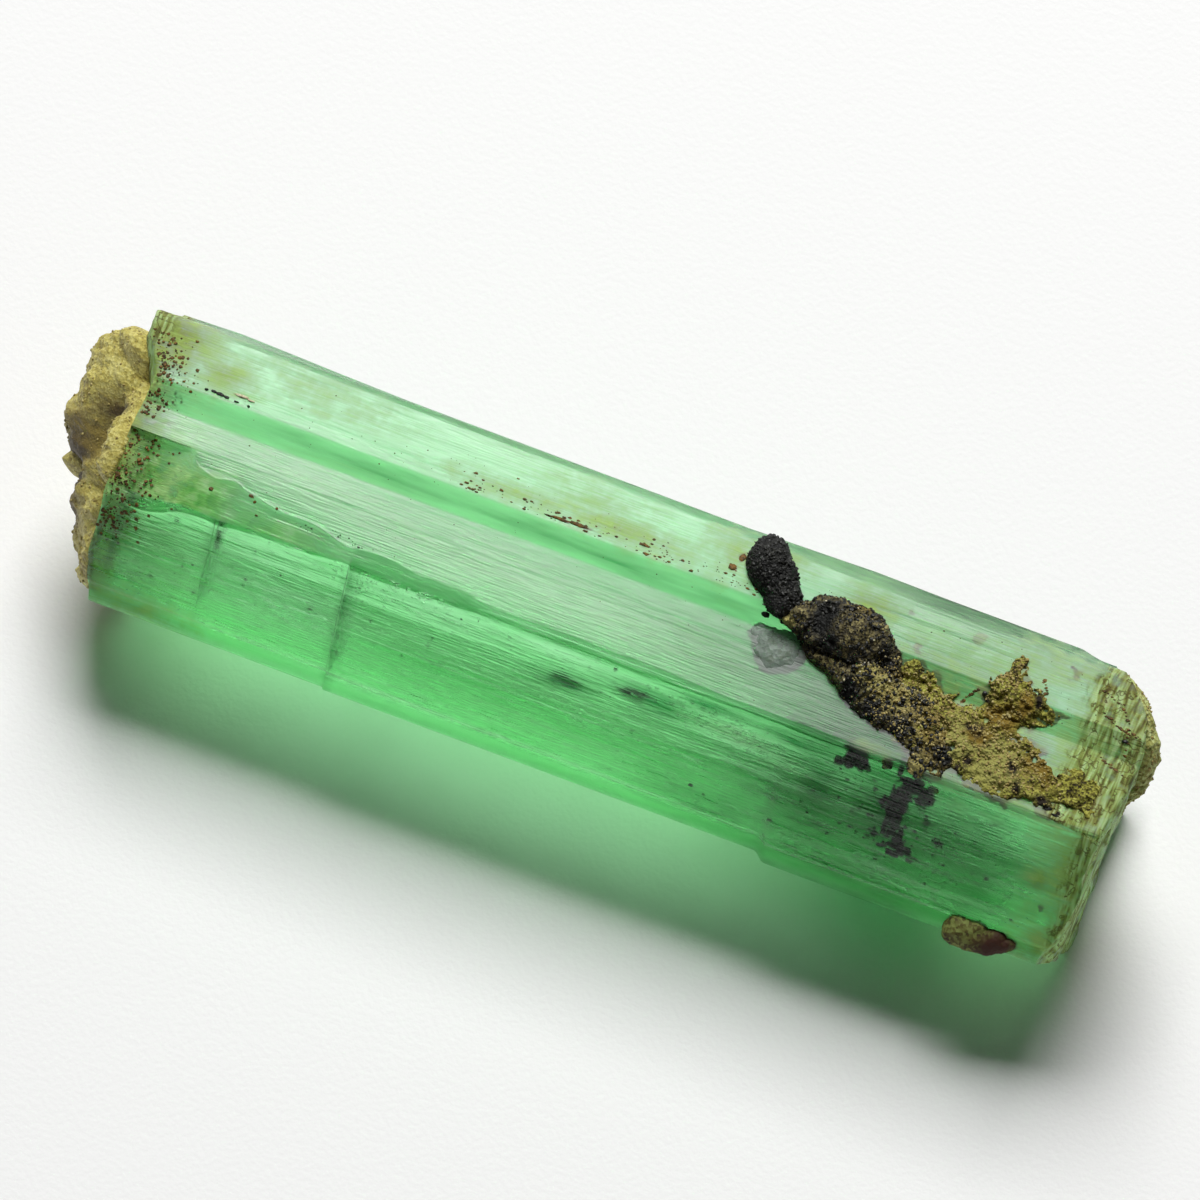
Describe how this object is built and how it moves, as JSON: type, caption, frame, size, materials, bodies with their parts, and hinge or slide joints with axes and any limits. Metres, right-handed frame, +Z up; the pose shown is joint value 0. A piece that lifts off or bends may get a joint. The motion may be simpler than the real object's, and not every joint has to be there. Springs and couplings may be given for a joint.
{
  "type": "emerald crystal specimen",
  "caption": "Natural six-sided emerald prism lying on a prism face, broken at both ends, with a mica schist seam, a biotite knob, limonite and a tan end crust.",
  "frame": {"origin": "on the surface it rests on, under the middle of the whole specimen", "axes": "+X along the crystal to the end with the schist seam, +Y to the back, +Z up from the face it rests on"},
  "size_m": [0.0214, 0.0065, 0.0058],
  "materials": {
    "beryl": "clear green beryl with fine lengthwise striations, lightly etched",
    "schist": "rough, with mica flakes and sand grains",
    "biotite": "near-black mica, flaky, slightly shiny",
    "quartz": "grey, frosted",
    "limonite": "matt, earthy",
    "tan_crust": "matt, granular",
    "iron_stone": "dull, rusty brown"
  },
  "bodies": {
    "root": {"emerald_crystal": "beryl", "mica_schist": "schist", "biotite_knob": "biotite", "quartz_grain": "quartz", "limonite_crust": "limonite", "right_end_crust": "limonite", "left_end_crust": "tan_crust", "left_end_grain": "tan_crust", "limonite_chip": "iron_stone"}
  },
  "joints": []
}
